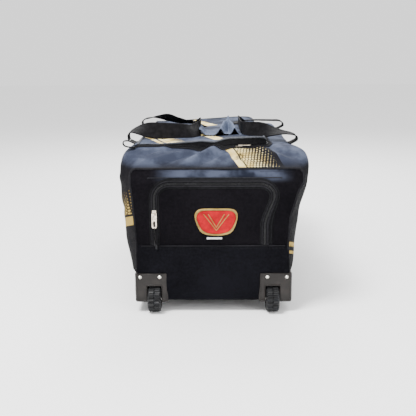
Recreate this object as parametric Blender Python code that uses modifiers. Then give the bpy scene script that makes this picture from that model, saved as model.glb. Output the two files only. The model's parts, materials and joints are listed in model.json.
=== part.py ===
"""A wheeled hockey equipment bag: a soft box of sewn panels that rolls on two wheels at one end.

Metres, +Z up. The bag lies along Y with its wheels at the -Y end, stands on Z = 0, and its
lid opens over the -X side. Each sub-part is one named object.
"""

from math import cos, pi, radians, sin

import bmesh
import bpy
from mathutils import Matrix, Vector

# ---------------------------------------------------------------- driving sizes
HALF_LENGTH = 0.460  # bag body, end face to end face, halved
BASE_Z = 0.034  # underside of the body above the floor
TOP_Z = 0.430  # flat top of the body
END_TOP_Z = 0.388  # top of the body at its two end faces
SLOPE = 0.118  # length over which the top falls to each end
BULGE_RUN = 0.100  # length over which the sides swell from each end
WALL = 0.003  # panel thickness
GAP = 0.0003  # clearance kept between neighbouring pieces
SEAM_Z = 0.1855  # seam between the end panel and the kick panel

LID_HINGE = Vector((-0.2245, 0.0, 0.436))
LID_LEFT, LID_RIGHT, LID_END = -0.2075, 0.150, 0.342  # teeth line of the lid zip
LID_CORNER = 0.045
TAPE = 0.010  # width of each half of a zip

POCKET_X, POCKET_HALF, POCKET_TOP = 0.004, 0.158, 0.350  # teeth line of the pocket zip
POCKET_FOOT = 0.1885
POCKET_CORNER = 0.040

WHEEL_X, WHEEL_Y, WHEEL_R, WHEEL_W = 0.158, -0.454, 0.035, 0.035
HUB_R, AXLE_R = 0.0215, 0.0035
LUGS = 18  # tread blocks round a tyre
HOUSING_IN, HOUSING_OUT = 0.1205, 0.2095
HOUSING_FRONT, HOUSING_BACK = -0.4645, -0.365
HOUSING_LOW, HOUSING_TOP = 0.0275, 0.112
WELL_HALF, WELL_TOP, WELL_BACK = 0.0190, 0.0735, -0.4150

STRAP, STRAP_T = 0.050, 0.002  # webbing width and thickness
STRAP_Y = 0.200  # the two feet of a carry handle lie this far either side of the middle
LEAN = radians(23)  # how far a flopped handle stands above the level

COLLECTION = "hockey_bag"


# ---------------------------------------------------------------- scene and helpers
def clear_scene():
    for thing in list(bpy.data.objects):
        bpy.data.objects.remove(thing, do_unlink=True)


def make_collection(name, hidden=False):
    made = bpy.data.collections.new(name)
    bpy.context.scene.collection.children.link(made)
    made.hide_render = hidden
    return made


def material(name, colour, roughness, metallic=0.0):
    made = bpy.data.materials.new(name)
    made.use_nodes = True
    shader = made.node_tree.nodes["Principled BSDF"]
    shader.inputs["Base Color"].default_value = (*colour, 1.0)
    shader.inputs["Roughness"].default_value = roughness
    shader.inputs["Metallic"].default_value = metallic
    return made


def place(name, mesh, finish, collection=None):
    made = bpy.data.objects.new(name, mesh)
    (collection or PARTS).objects.link(made)
    if finish:
        mesh.materials.append(finish)
    return made


def mesh_from(bm, name):
    bmesh.ops.recalc_face_normals(bm, faces=bm.faces)
    mesh = bpy.data.meshes.new(name)
    bm.to_mesh(mesh)
    bm.free()
    return mesh


def cutter(name, mesh):
    made = place(name, mesh, None, CUTTERS)
    made.hide_render = True
    made.display_type = "WIRE"
    return made


def carve(target, tool, operation="DIFFERENCE"):
    step = target.modifiers.new(operation.title(), "BOOLEAN")
    step.operation = operation
    step.solver = "EXACT"
    step.object = tool
    return target


def box_mesh(name, low, high):
    low, high = Vector(low), Vector(high)
    bm = bmesh.new()
    bmesh.ops.create_cube(bm, size=1.0)
    bmesh.ops.scale(bm, vec=high - low, verts=bm.verts)
    bmesh.ops.translate(bm, vec=(low + high) / 2, verts=bm.verts)
    return mesh_from(bm, name)


def box(name, low, high, finish, bevel=0.0):
    made = place(name, box_mesh(name, low, high), finish)
    if bevel:
        soften(made, bevel)
    return made


def box_cutter(name, low, high):
    return cutter(name, box_mesh(name, low, high))


def mirrored(name, source, finish):
    """A piece that is the mirror image of another across the middle plane."""
    bpy.context.view_layer.update()
    mesh = bpy.data.meshes.new_from_object(source.evaluated_get(bpy.context.evaluated_depsgraph_get()))
    mesh.materials.clear()
    mesh.transform(Matrix.Scale(-1, 4, (1, 0, 0)))
    mesh.flip_normals()
    return place(name, mesh, finish)


def soften(made, width, segments=2):
    step = made.modifiers.new("Soften", "BEVEL")
    step.width = width
    step.segments = segments
    step.limit_method = "ANGLE"
    return made


def drum_mesh(name, radius, low_x, high_x, centre_y, centre_z, segments=32):
    """A cylinder along X."""
    bm = bmesh.new()
    bmesh.ops.create_cone(
        bm, cap_ends=True, segments=segments, radius1=radius, radius2=radius, depth=high_x - low_x,
        matrix=Matrix.Translation(((low_x + high_x) / 2, centre_y, centre_z))
        @ Matrix.Rotation(pi / 2, 4, "Y"),
    )
    return mesh_from(bm, name)


def grid_mesh(name, across, along, point, close_across=False, cap=False):
    """A grid of quads mapped by point(i, j). It can close on itself and have its two ends capped."""
    bm = bmesh.new()
    made = bmesh.ops.create_grid(bm, x_segments=across, y_segments=along, size=0.5)
    for vertex in made["verts"]:
        i = round((vertex.co.x + 0.5) * across)
        j = round((vertex.co.y + 0.5) * along)
        vertex.co = point(i, j)
    if close_across:
        bmesh.ops.remove_doubles(bm, verts=bm.verts, dist=1e-6)
    if cap:
        bmesh.ops.holes_fill(bm, edges=[edge for edge in bm.edges if edge.is_boundary], sides=0)
    return mesh_from(bm, name)


def plate(name, outline, matrix, thickness, finish=None):
    """A flat outline, filled and extruded: a 2D curve turned into a mesh and set by a matrix."""
    curve = bpy.data.curves.new(name, "CURVE")
    curve.dimensions = "2D"
    curve.fill_mode = "BOTH"
    curve.extrude = thickness / 2
    spline = curve.splines.new("POLY")
    spline.points.add(len(outline) - 1)
    for point, (u, v) in zip(spline.points, outline):
        point.co = (u, v, 0.0, 1.0)
    spline.use_cyclic_u = True
    flat = bpy.data.objects.new(name, curve)
    CUTTERS.objects.link(flat)
    bpy.context.view_layer.update()
    mesh = bpy.data.meshes.new_from_object(flat.evaluated_get(bpy.context.evaluated_depsgraph_get()))
    bpy.data.objects.remove(flat, do_unlink=True)
    mesh.transform(matrix)
    bm = bmesh.new()
    bm.from_mesh(mesh)
    bmesh.ops.remove_doubles(bm, verts=bm.verts, dist=1e-6)
    bpy.data.meshes.remove(mesh)
    mesh = mesh_from(bm, name)
    return place(name, mesh, finish) if finish else cutter(name, mesh)


def tube(name, points, radius, finish, cyclic=False, resolution=2):
    curve = bpy.data.curves.new(name, "CURVE")
    curve.dimensions = "3D"
    curve.bevel_depth = radius
    curve.bevel_resolution = resolution
    curve.use_fill_caps = not cyclic
    spline = curve.splines.new("POLY")
    spline.points.add(len(points) - 1)
    for point, place_at in zip(spline.points, points):
        point.co = (*place_at, 1.0)
    spline.use_cyclic_u = cyclic
    curve.materials.append(finish)
    made = bpy.data.objects.new(name, curve)
    PARTS.objects.link(made)
    return made


def ribbon(name, centres, sides, finish, thickness=STRAP_T):
    """Webbing: centre points, and at each the half width as a vector."""
    mesh = grid_mesh(name, 2, len(centres) - 1, lambda i, j: centres[j] + (i - 1) * sides[j])
    made = place(name, mesh, finish)
    step = made.modifiers.new("Thickness", "SOLIDIFY")
    step.thickness = thickness
    step.offset = 0.0
    return made


def round_end(half, foot, top, corner, grow=0.0, steps=6):
    """An outline square at its foot and round at its two top corners, grown outwards except at the foot."""
    half, top, corner = half + grow, top + grow, corner + grow
    points = [(-half, foot)]
    for side, start in ((-1, pi), (1, pi / 2)):
        for step in range(steps + 1):
            turn = start - step / steps * pi / 2
            points.append((side * (half - corner) + corner * cos(turn), top - corner + corner * sin(turn)))
    points.append((half, foot))
    return points


# ---------------------------------------------------------------- the body's form
def swell(y):
    """0 at the end faces, 1 along the middle of the bag."""
    inside = (HALF_LENGTH - abs(y)) / BULGE_RUN
    inside = min(max(inside, 0.0), 1.0)
    return 1 - (1 - inside) ** 2


def top_at(y):
    inside = min((HALF_LENGTH - abs(y)) / SLOPE, 1.0)
    return END_TOP_Z + (TOP_Z - END_TOP_Z) * inside


def half_profile(y, inset=0.0):
    """The right half of a cross-section, from the base edge up to the flat top."""
    swollen, top = swell(y), top_at(y)
    rows = (
        (0.196, BASE_Z + inset),
        (0.203 - inset, BASE_Z + 0.010),
        (0.205 + 0.010 * swollen - inset, 0.110),
        (0.207 + 0.020 * swollen - inset, 0.185),
        (0.211 + 0.025 * swollen - inset, 0.260),
        (0.216 + 0.025 * swollen - inset, 0.330),
        (0.221 + 0.020 * swollen - inset, top - 0.035),
        (0.219 + 0.012 * swollen - inset * 0.8, top - 0.012 - inset * 0.5),
        (0.210 + 0.008 * swollen - inset * 0.3, top - 0.002 - inset),
        (0.200, top - inset),
    )
    return [Vector((x, y, z)) for x, z in rows]


def body_mesh(name, inset=0.0):
    """A lofted closed body, drawn in by inset on every side."""
    reach = HALF_LENGTH - inset
    half = [reach, 0.445, 0.425, 0.400, 0.370, HALF_LENGTH - SLOPE, 0.20]
    stations = [-y for y in half] + [0.0] + half[::-1]
    sections = []
    for y in stations:
        right = half_profile(y, inset)
        left = [Vector((-p.x, p.y, p.z)) for p in right[::-1]]
        ring = right + left
        sections.append([Vector((p.x, y, p.z)) for p in ring])
    count = len(sections[0])
    return grid_mesh(
        name, count, len(stations) - 1, lambda i, j: sections[j][i % count], close_across=True, cap=True
    )


def side_surface(z, y, out):
    """A point on the right side at height z, moved outwards by out."""
    rows = half_profile(y)
    for low, high in zip(rows, rows[1:]):
        if low.z <= z <= high.z:
            share = (z - low.z) / (high.z - low.z)
            face = (high - low).normalized()
            return low.lerp(high, share) + out * Vector((face.z, 0.0, -face.x))
    raise ValueError("height is off the side panel")


# ---------------------------------------------------------------- materials
def make_materials():
    return {
        "top_fabric": material("top_fabric", (0.10, 0.13, 0.22), 0.45),
        "side_fabric": material("side_fabric", (0.020, 0.018, 0.024), 0.55),
        "kick_fabric": material("kick_fabric", (0.012, 0.012, 0.014), 0.40),
        "lining": material("lining", (0.05, 0.05, 0.06), 0.8),
        "board": material("board", (0.30, 0.24, 0.16), 0.8),
        "piping": material("piping", (0.10, 0.10, 0.12), 0.5),
        "zip_tape": material("zip_tape", (0.015, 0.015, 0.016), 0.7),
        "webbing": material("webbing", (0.018, 0.016, 0.018), 0.7),
        "metal": material("metal", (0.70, 0.64, 0.55), 0.3, 1.0),
        "rivet": material("rivet", (0.80, 0.78, 0.70), 0.3, 1.0),
        "housing": material("housing", (0.040, 0.030, 0.026), 0.45),
        "hub": material("hub", (0.03, 0.03, 0.03), 0.5),
        "tyre": material("tyre", (0.012, 0.012, 0.014), 0.6),
        "foot": material("foot", (0.02, 0.02, 0.02), 0.6),
        "badge_gold": material("badge_gold", (0.50, 0.36, 0.11), 0.4),
        "badge_red": material("badge_red", (0.90, 0.012, 0.04), 0.4),
        "label": material("label", (0.80, 0.80, 0.78), 0.6),
    }


# ---------------------------------------------------------------- the shell
def shell_piece(name, low, high, finish, hollow=True):
    """The part of the body's skin that lies inside a box."""
    made = place(name, body_mesh(name), finish)
    if hollow:
        carve(made, INNER)
    carve(made, box_cutter(name + "_region", low, high), "INTERSECT")
    return made


def housing_notch(side):
    """The room that a wheel housing takes from the panels at one lower corner."""
    near, far = sorted((side * (HOUSING_IN - GAP), side * 0.30))
    return box_cutter(
        f"notch_{'right' if side > 0 else 'left'}",
        (near, -0.55, -0.05),
        (far, HOUSING_BACK + GAP, HOUSING_TOP + 0.0005),
    )


def make_shell(finishes):
    end_in = HALF_LENGTH - WALL + GAP / 2  # inner face of the end plates
    reach = end_in - GAP
    floor_z = BASE_Z + 0.006
    edge_x, edge_z = 0.2085, 0.3653
    bottom = shell_piece(
        "bottom_panel", (-0.3, -reach, 0.0), (0.3, reach, floor_z - GAP), finishes["kick_fabric"]
    )
    left = shell_piece(
        "side_panel_left", (-0.3, -reach, floor_z), (-0.1, reach, 0.6), finishes["side_fabric"]
    )
    carve(left, box_cutter("side_edge", (-edge_x, -0.5, edge_z), (0.0, 0.5, 0.6)))
    top = shell_piece(
        "top_surround", (-edge_x + GAP, -reach, edge_z), (edge_x - GAP, reach, 0.6), finishes["top_fabric"]
    )
    carve(top, lid_outline_cutter("lid_opening", TAPE + GAP))
    wheel_end = shell_piece(
        "wheel_end_panel", (-0.3, -0.6, SEAM_Z + GAP), (0.3, -end_in, 0.6), finishes["side_fabric"], False
    )
    carve(wheel_end, pocket_cutter("pocket_opening", TAPE + GAP))
    kick = shell_piece(
        "wheel_end_kick_panel", (-0.3, -0.6, 0.0), (0.3, -end_in, SEAM_Z), finishes["kick_fabric"], False
    )
    shell_piece("far_end_panel", (-0.3, end_in, 0.0), (0.3, 0.6, 0.6), finishes["side_fabric"], False)
    for side in (-1, 1):
        notch = housing_notch(side)
        for panel in (bottom, kick, left)[: 3 if side < 0 else 2]:
            carve(panel, notch)
    mirrored("side_panel_right", left, finishes["side_fabric"])
    box("base_board", (-0.186, -0.360, BASE_Z + 0.0065), (0.186, 0.450, BASE_Z + 0.0105), finishes["board"])


def make_piping(finishes):
    """A bead sewn round the edge of each end panel."""
    bead = 0.0024
    for name, side in (("piping_wheel_end", -1), ("piping_far_end", 1)):
        y = side * (HALF_LENGTH + bead * 0.9)
        profile = half_profile(HALF_LENGTH)
        start = 3 if side < 0 else 0  # at the wheel end it stops above the kick panel
        right = [Vector((p.x - 0.001, y, p.z)) for p in profile[start:]]
        right[-1].z -= 0.001
        left = [Vector((-p.x, p.y, p.z)) for p in right[::-1]]
        points = [Vector((p.x, p.y, p.z + 0.001 if p.z > 0.30 else p.z)) for p in right + left]
        tube(name, points, bead - GAP, finishes["piping"], cyclic=side > 0)


# ---------------------------------------------------------------- the lid and its zip
LID_MIDDLE_Z = TOP_Z - WALL / 2


def lid_matrix(z):
    """Sets an outline drawn with its foot at the hinge side into the level of the lid."""
    swapped = Matrix(((0, 1, 0, 0), (1, 0, 0, 0), (0, 0, 1, 0), (0, 0, 0, 1)))
    return Matrix.Translation((0.0, 0.0, z)) @ swapped


def lid_outline(grow, foot=LID_LEFT):
    return round_end(LID_END, foot, LID_RIGHT, LID_CORNER, grow)


def lid_outline_cutter(name, grow):
    return plate(name, lid_outline(grow, -0.30), lid_matrix(LID_MIDDLE_Z), 0.05)


def band(name, outer, inner, matrix, thickness, finish):
    """The strip between two outlines."""
    made = plate(name, outer, matrix, thickness, finish)
    return carve(made, plate(name + "_inside", inner, matrix, thickness * 3))


def make_lid(finishes):
    plate("lid_panel", lid_outline(-TAPE - GAP), lid_matrix(LID_MIDDLE_Z), WALL, finishes["top_fabric"])
    tape_at = lid_matrix(TOP_Z - 0.0025)
    moving = (lid_outline(-GAP / 2), lid_outline(-TAPE, -0.3))
    fixed = (lid_outline(TAPE), lid_outline(GAP / 2, -0.3))
    band("lid_zip_tape_moving", *moving, tape_at, 0.002, finishes["zip_tape"])
    band("lid_zip_tape_fixed", *fixed, tape_at, 0.002, finishes["zip_tape"])
    bead, edge = 0.0022, lid_outline(-TAPE - 0.0005)
    edge[0], edge[-1] = (edge[0][0], LID_LEFT + 0.004), (edge[-1][0], LID_LEFT + 0.004)
    points = [Vector((v, u, TOP_Z + GAP + bead)) for u, v in edge]
    tube("lid_piping", points, bead, finishes["piping"])


# ---------------------------------------------------------------- the end pocket
END_MATRIX = Matrix(((1, 0, 0, POCKET_X), (0, 0, -1, 0), (0, 1, 0, 0), (0, 0, 0, 1)))


def pocket_matrix(y):
    return Matrix.Translation((0.0, y, 0.0)) @ END_MATRIX


def pocket_outline(grow, foot=POCKET_FOOT):
    return round_end(POCKET_HALF, foot, POCKET_TOP, POCKET_CORNER, grow)


def pocket_cutter(name, grow):
    return plate(name, pocket_outline(grow, 0.10), pocket_matrix(-HALF_LENGTH), 0.05)


def make_pocket(finishes):
    face = -HALF_LENGTH
    tape_y, panel_y = face + 0.0017, face + 0.0014
    panel = pocket_outline(-TAPE - GAP)
    plate("pocket_panel", panel, pocket_matrix(panel_y), 0.0028, finishes["side_fabric"])
    band(
        "pocket_zip_tape_moving", pocket_outline(-GAP / 2), pocket_outline(-TAPE, 0.1), pocket_matrix(tape_y),
        0.002, finishes["zip_tape"],
    )
    band(
        "pocket_zip_tape_fixed", pocket_outline(TAPE), pocket_outline(GAP / 2, 0.1), pocket_matrix(tape_y),
        0.002, finishes["zip_tape"],
    )
    back, grow, wall = face + 0.052, 0.016, 0.0020
    low = (POCKET_X - POCKET_HALF - grow, face + WALL + 0.0002, SEAM_Z - 0.002)
    high = (POCKET_X + POCKET_HALF + grow, back, POCKET_TOP + grow)
    lining = box("pocket_lining", low, high, finishes["lining"])
    inside = box_cutter(
        "pocket_room",
        (low[0] + wall, face - 0.02, low[2] + wall),
        (high[0] - wall, back - wall, high[2] - wall),
    )
    carve(lining, inside)


def badge_outline(grow):
    """A plain shield, wider at the top, with a low arched foot."""
    top_half, foot_half, top, foot = 0.060 + grow, 0.045 + grow, 0.287 + grow, 0.213 - grow
    points = [(foot_half, foot + 0.012), (top_half, top - 0.018), (top_half - 0.010, top)]
    left = [(-u, v) for u, v in points[::-1]]
    turns = [pi * k / 8 for k in range(7, 0, -1)]
    arc = [(foot_half * cos(t), foot + 0.012 - 0.012 * sin(t)) for t in turns]
    return points + left + arc


def make_badge(finishes):
    face = -HALF_LENGTH
    shift = Matrix.Translation((0.010, 0.0, 0.0))
    border_at = shift @ pocket_matrix(face - 0.0009)
    plate("badge_border", badge_outline(0.0), border_at, 0.0012, finishes["badge_gold"])
    face_at = shift @ pocket_matrix(face - 0.0024)
    plate("badge_face", badge_outline(-0.005), face_at, 0.0012, finishes["badge_red"])
    box(
        "badge_label", (-0.006, face - 0.0015, 0.2035), (0.034, face - 0.0003, 0.2085), finishes["label"]
    )


# ---------------------------------------------------------------- zip sliders
def turned(matrix, mesh):
    mesh.transform(matrix)
    return mesh


def oblong(half, length, hole, foot=0.0, steps=6):
    """Half-round ended outline from v=-foot down to v=-length, and the hole in its lower half."""
    outer = [(-half, foot)]
    turns = [pi * k / steps for k in range(steps + 1)]
    outer += [(half * -cos(t), -(length - half) - half * sin(t)) for t in turns]
    outer.append((half, foot))
    inner = []
    low, high, r = -(length - half), -(length * 0.55), hole
    inner += [(r * -cos(t), low - r * sin(t)) for t in (pi * k / steps for k in range(steps + 1))]
    inner += [(r * cos(t), high + r * sin(t)) for t in (pi * k / steps for k in range(steps + 1))]
    return outer, inner


def make_slider(prefix, matrix, finishes, length=0.040):
    """Slider body and its pull tab. Local +Z faces out of the fabric and the tab lies along -Y."""
    low, high = Vector((-0.006, -0.009, 0.0)), Vector((0.006, 0.009, 0.0042))
    block = box_mesh(prefix + "_slider", low, high)
    body = place(prefix + "_slider", turned(matrix, block), finishes["metal"])
    soften(body, 0.0012)
    outer, inner = oblong(0.0065, length, 0.0028, foot=0.0009)
    level = matrix @ Matrix.Translation((0.0, 0.0, 0.0062))
    tab = plate(prefix + "_puller", outer, level, 0.0018, finishes["metal"])
    carve(tab, plate(prefix + "_puller_hole", inner, level, 0.01))


def make_sliders(finishes):
    face = Matrix(((1, 0, 0, 0), (0, 0, -1, 0), (0, 1, 0, 0), (0, 0, 0, 1)))
    pocket_at = Matrix.Translation((POCKET_X - POCKET_HALF, -HALF_LENGTH + 0.0004, 0.272))
    make_slider("pocket", pocket_at @ face, finishes)
    start = Vector((POCKET_X - POCKET_HALF, -0.4658, 0.2315))
    end = Vector((POCKET_X - POCKET_HALF + 0.002, -0.4658, 0.1985))
    route = [start.lerp(end, k / 6) + Vector((0.0, -0.0010 * sin(pi * k / 6), 0.0)) for k in range(7)]
    tube("pocket_pull_cord", route, 0.0018, finishes["webbing"])
    level = TOP_Z - 0.0012
    near_at = Matrix.Translation((0.070, -LID_END, level)) @ Matrix.Rotation(pi / 2, 4, "Z")
    make_slider("lid_near", near_at, finishes, 0.034)
    make_slider("lid_side", Matrix.Translation((LID_RIGHT, 0.0, level)), finishes, 0.034)


# ---------------------------------------------------------------- wheels and feet
def tyre_mesh(name, x):
    """A ring with a square section whose crown stands up in blocks, alternately left and right."""
    half, inner = WHEEL_W / 2, HUB_R + GAP
    shoulder, root = WHEEL_R - 0.004, WHEEL_R - 0.003
    count = LUGS * 4

    def point(i, j):
        turn = 2 * pi * (j % count) / count
        block = (j // 2) % 2
        left = WHEEL_R if block else root
        right = root if block else WHEEL_R
        section = (
            (-half + 0.004, inner), (-half, inner + 0.004), (-half, shoulder - 0.002), (-half * 0.80, left),
            (-half * 0.10, left), (half * 0.10, right), (half * 0.80, right), (half, shoulder - 0.002),
            (half, inner + 0.004), (half - 0.004, inner),
        )
        across, radius = section[i % len(section)]
        return Vector((x + across, WHEEL_Y + radius * cos(turn), WHEEL_R + radius * sin(turn)))

    return grid_mesh(name, 10, count, point, close_across=True)


def make_wheel(word, side, finishes):
    x = side * WHEEL_X
    place(f"tyre_{word}", tyre_mesh(f"tyre_{word}", x), finishes["tyre"])
    hub_half = WHEEL_W / 2 - 0.0012
    drum = drum_mesh(f"hub_{word}", HUB_R, x - hub_half, x + hub_half, WHEEL_Y, WHEEL_R)
    hub = place(f"hub_{word}", drum, finishes["hub"])
    bore = drum_mesh(f"bore_{word}", AXLE_R + 0.0006, x - 0.05, x + 0.05, WHEEL_Y, WHEEL_R, 24)
    carve(hub, cutter(f"bore_{word}", bore))
    place(
        f"axle_{word}",
        drum_mesh(f"axle_{word}", AXLE_R, x - 0.027, x + 0.027, WHEEL_Y, WHEEL_R, 20),
        finishes["metal"],
    )


def make_housing(word, side, finishes):
    near, far = sorted((side * HOUSING_IN, side * HOUSING_OUT))
    x = side * WHEEL_X
    shell = box(
        f"wheel_housing_{word}", (near, HOUSING_FRONT, HOUSING_LOW), (far, HOUSING_BACK, HOUSING_TOP),
        finishes["housing"],
    )
    soften(shell, 0.006, 3)
    well = (x - WELL_HALF, -0.55, -0.02), (x + WELL_HALF, WELL_BACK, WELL_TOP)
    carve(shell, box_cutter(f"well_{word}", *well))
    seat = drum_mesh(f"seat_{word}", AXLE_R + GAP, x - 0.0275, x + 0.0275, WHEEL_Y, WHEEL_R, 20)
    carve(shell, cutter(f"seat_{word}", seat))
    for spot, across in (("inner", 0.1435), ("outer", 0.1955)):
        bm = bmesh.new()
        bmesh.ops.create_cone(
            bm, cap_ends=True, segments=20, radius1=0.0048, radius2=0.0026, depth=0.0020,
            matrix=Matrix.Translation((side * across, HOUSING_FRONT - GAP - 0.0010, 0.098))
            @ Matrix.Rotation(pi / 2, 4, "X"),
        )
        place(f"rivet_{word}_{spot}", mesh_from(bm, "rivet"), finishes["rivet"])


def make_foot(word, side, finishes):
    x, y = side * 0.150, 0.400
    bm = bmesh.new()
    bmesh.ops.create_cone(
        bm, cap_ends=True, segments=24, radius1=0.020, radius2=0.026, depth=BASE_Z - GAP,
        matrix=Matrix.Translation((x, y, (BASE_Z - GAP) / 2)),
    )
    place(f"skid_foot_{word}", mesh_from(bm, "skid_foot"), finishes["foot"])


# ---------------------------------------------------------------- straps and handles
def handle_path(reach, corner, twist_from, twist_to):
    """Points of a flopped handle: (distance from the axis, y, heading, twist)."""
    rows = []
    legs = 12
    for k in range(legs + 1):
        r = (reach - corner) * k / legs
        share = min(max((r - twist_from) / (twist_to - twist_from), 0.0), 1.0)
        share = share * share * (3 - 2 * share)
        rows.append((r, -STRAP_Y, 0.0, share * pi / 2))
    for k in range(1, 6):
        turn = k / 6 * pi / 2
        out = reach - corner + corner * sin(turn)
        rows.append((out, -STRAP_Y + corner - corner * cos(turn), turn, pi / 2))
    rows.append((reach, -STRAP_Y + corner, pi / 2, pi / 2))
    rows.append((reach, -0.065, pi / 2, pi / 2))
    back = [(r, -y, pi - turn, pi - twist) for r, y, turn, twist in rows[::-1]]
    return rows + back


def handle(name, axis, side, path, finish):
    """side is +1 for a handle that lies towards +X from its axis."""
    outward = Vector((side * cos(LEAN), 0.0, sin(LEAN)))
    normal = Vector((-side * sin(LEAN), 0.0, cos(LEAN)))
    centres, halves = [], []
    for r, y, heading, twist in path:
        across = Vector((0.0, 1.0, 0.0)) * cos(heading) - outward * sin(heading)
        centres.append(axis + r * outward + Vector((0.0, y, 0.0)))
        halves.append((across * cos(twist) + normal * sin(twist)) * STRAP / 2)
    return ribbon(name, centres, halves, finish)


RIGHT_HINGE = Vector((0.240, 0.0, 0.434))
LEFT_REACH, RIGHT_REACH = 0.180, 0.155


def make_carry_handles(finishes):
    handle(
        "carry_handle_left", LID_HINGE, 1, handle_path(LEFT_REACH, 0.050, 0.008, 0.075), finishes["webbing"]
    )
    handle(
        "carry_handle_right",
        RIGHT_HINGE,
        -1,
        handle_path(RIGHT_REACH, 0.035, 0.050, 0.118),
        finishes["webbing"],
    )
    outward = Vector((cos(LEAN), 0.0, sin(LEAN)))
    middle = LID_HINGE + LEFT_REACH * outward
    tilt = Matrix.Translation(middle) @ Matrix.Rotation(-LEAN, 4, "Y")
    wrap = box("handle_wrap", (-0.0050, -0.055, -0.029), (0.0050, 0.055, 0.029), finishes["top_fabric"])
    wrap.data.transform(tilt)
    soften(wrap, 0.002)
    room = box_mesh("wrap_room", (-0.0016, -0.08, -0.0255), (0.0016, 0.08, 0.0255))
    room.transform(tilt)
    carve(wrap, cutter("wrap_room", room))
    for side, word in ((-1, "left"), (1, "right")):
        for end, spot in ((-1, "near"), (1, "far")):
            y = end * STRAP_Y
            heights = (0.290, 0.330, TOP_Z - 0.035, TOP_Z - 0.0125)
            centres = [side_surface(z, y, 0.0022) for z in heights]
            centres = [Vector((side * p.x, y, p.z)) for p in centres]
            sides = [Vector((0.0, STRAP / 2, 0.0))] * len(centres)
            ribbon(f"handle_anchor_{word}_{spot}", centres, sides, finishes["webbing"])


PULL_AXIS = Vector((0.0, 0.4777, 0.330))


def make_pull_handle(finishes):
    """A round grab handle that hangs from two tabs on the far end panel."""
    half, drop, corner, thick = 0.090, 0.085, 0.030, 0.0055
    points = [Vector((-half, 0.0, 0.0))]
    for start, side in ((pi, -1), (1.5 * pi, 1)):
        for k in range(7):
            turn = start + k / 6 * pi / 2
            points.append(
                Vector((side * (half - corner) + corner * cos(turn), 0.0, -drop + corner + corner * sin(turn)))
            )
    points.append(Vector((half, 0.0, 0.0)))
    tube("pull_handle", [PULL_AXIS + p for p in points], thick, finishes["webbing"], resolution=2)
    sleeve_z = PULL_AXIS.z - drop
    sleeve = place(
        "pull_handle_grip", drum_mesh("pull_handle_grip", 0.0113, -0.052, 0.052, PULL_AXIS.y, sleeve_z, 24),
        finishes["tyre"],
    )
    room = drum_mesh("grip_room", thick + 0.0006, -0.08, 0.08, PULL_AXIS.y, sleeve_z, 20)
    carve(sleeve, cutter("grip_room", room))
    for side, word in ((-1, "left"), (1, "right")):
        tab = box(
            f"pull_handle_tab_{word}",
            (side * half - 0.018, HALF_LENGTH + GAP, PULL_AXIS.z - 0.012),
            (side * half + 0.018, HALF_LENGTH + 0.0110, PULL_AXIS.z + 0.050),
            finishes["webbing"],
        )
        soften(tab, 0.003)


def make_zip_loop(finishes):
    """A small loop of narrow webbing at the end of the lid zip, to hold while the zip is pulled."""
    y, half = -0.360, 0.0095
    centre, length, height = Vector((-0.2125, y, 0.4315)), 0.024, 0.0058
    centres = [centre]
    for k in range(9):
        turn = -pi / 2 + pi * k / 8
        centres.append(centre + Vector((-length - height * cos(turn), 0.0, height + height * sin(turn))))
    centres.append(centre + Vector((0.0, 0.0, 2 * height * 0.75)))
    ribbon("zip_end_loop", centres, [Vector((0.0, half, 0.0))] * len(centres), finishes["webbing"], 0.0015)


# ---------------------------------------------------------------- build
clear_scene()
PARTS = make_collection(COLLECTION)
CUTTERS = make_collection("cutters", hidden=True)
INNER = cutter("inner_room", body_mesh("inner_room", WALL))
FINISHES = make_materials()
make_shell(FINISHES)
make_piping(FINISHES)
make_lid(FINISHES)
make_pocket(FINISHES)
make_badge(FINISHES)
make_sliders(FINISHES)
for SIDE, WORD in ((-1, "left"), (1, "right")):
    make_housing(WORD, SIDE, FINISHES)
    make_wheel(WORD, SIDE, FINISHES)
    make_foot(WORD, SIDE, FINISHES)
make_carry_handles(FINISHES)
make_pull_handle(FINISHES)
make_zip_loop(FINISHES)
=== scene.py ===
import json
from math import cos, exp, pi, radians, sin, sqrt

import bmesh
import bpy
from mathutils import Euler, Matrix, Vector, noise

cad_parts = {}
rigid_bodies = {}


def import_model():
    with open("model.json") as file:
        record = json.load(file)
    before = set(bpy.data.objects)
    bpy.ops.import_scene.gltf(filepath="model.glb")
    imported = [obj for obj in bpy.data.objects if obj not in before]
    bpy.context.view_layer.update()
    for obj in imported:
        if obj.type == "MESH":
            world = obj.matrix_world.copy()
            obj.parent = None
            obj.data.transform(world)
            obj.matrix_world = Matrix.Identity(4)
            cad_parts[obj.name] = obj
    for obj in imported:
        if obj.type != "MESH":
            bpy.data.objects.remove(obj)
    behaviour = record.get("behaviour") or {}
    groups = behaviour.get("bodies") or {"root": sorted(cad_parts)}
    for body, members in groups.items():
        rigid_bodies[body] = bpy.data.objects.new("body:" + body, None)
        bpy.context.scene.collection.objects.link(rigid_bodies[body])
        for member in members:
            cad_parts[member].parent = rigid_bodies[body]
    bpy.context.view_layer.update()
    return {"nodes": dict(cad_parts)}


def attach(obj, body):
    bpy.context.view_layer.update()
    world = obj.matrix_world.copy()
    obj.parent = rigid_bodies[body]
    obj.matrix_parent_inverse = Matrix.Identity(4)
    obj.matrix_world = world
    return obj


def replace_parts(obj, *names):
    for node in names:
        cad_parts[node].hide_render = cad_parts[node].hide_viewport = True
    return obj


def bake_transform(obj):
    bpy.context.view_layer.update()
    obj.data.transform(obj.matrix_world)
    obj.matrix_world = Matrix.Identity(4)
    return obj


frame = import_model()

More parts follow.
